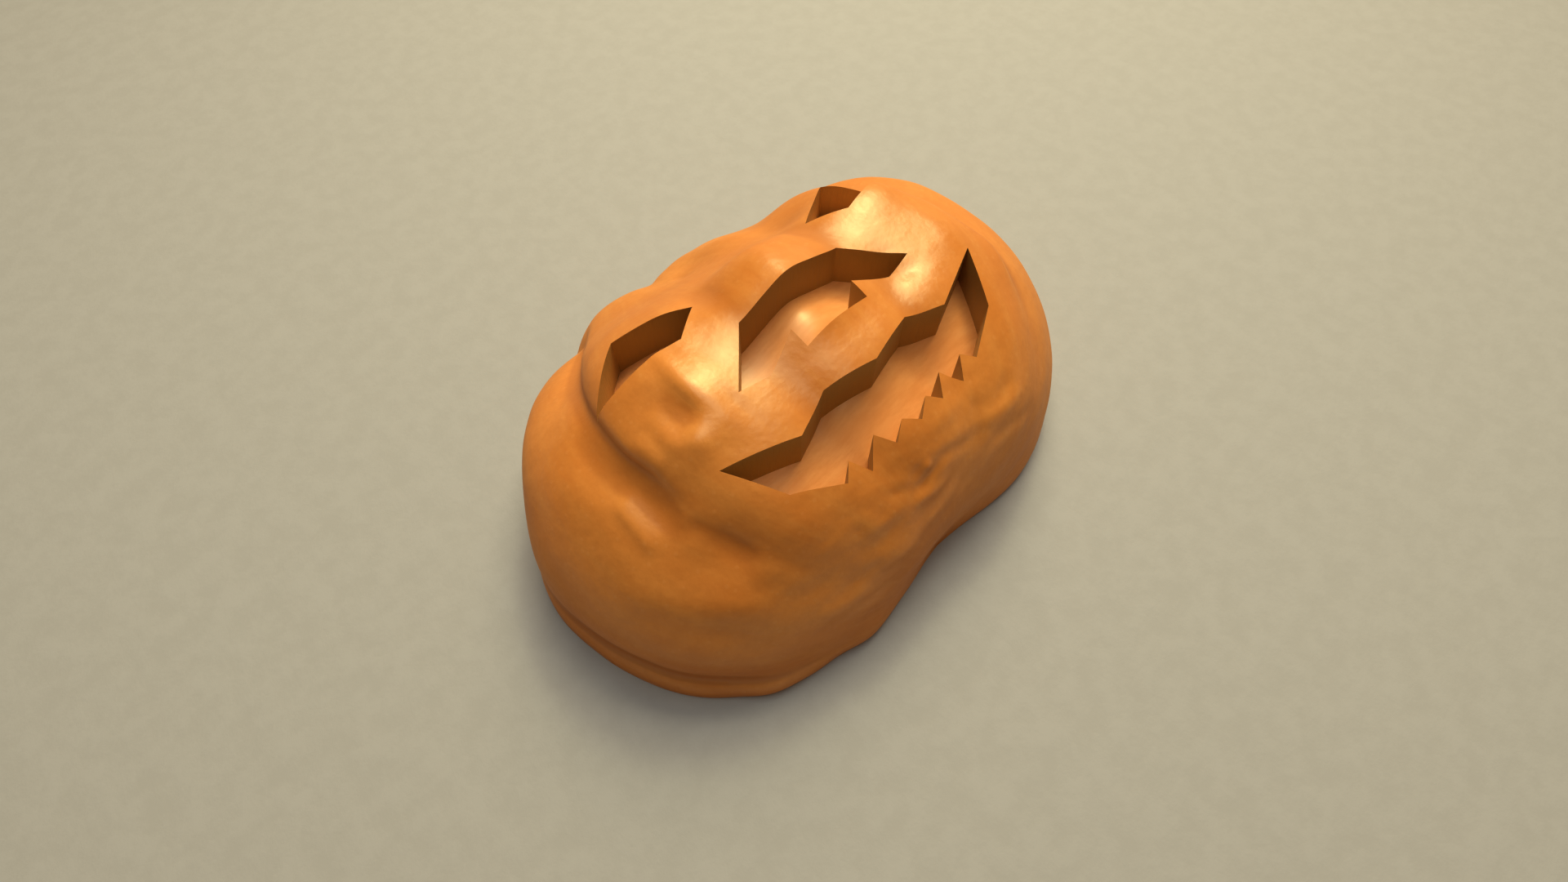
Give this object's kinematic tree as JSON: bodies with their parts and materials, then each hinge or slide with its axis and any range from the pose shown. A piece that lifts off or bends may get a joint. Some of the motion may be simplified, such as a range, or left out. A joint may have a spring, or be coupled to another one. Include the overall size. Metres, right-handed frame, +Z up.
{
  "type": "pumpkin half",
  "caption": "Half of a ribbed pumpkin lying on its flat cut face, with eyes, a nose and a toothed grin carved as blind pockets into the rounded skin, used as food and lantern decoration.",
  "frame": {"origin": "middle of the flat cut face, on the surface that the half lies on", "axes": "+Z up out of the cut face through the carved face, +Y towards the stem end (the brow), +X across the face to its side"},
  "size_m": [0.2596, 0.1857, 0.1051],
  "materials": {
    "pumpkin_skin": "smooth waxy orange skin with a soft shine, the carved pockets in the same orange and darker on their walls"
  },
  "bodies": {
    "root": {"pumpkin_half": "pumpkin_skin"}
  },
  "joints": []
}
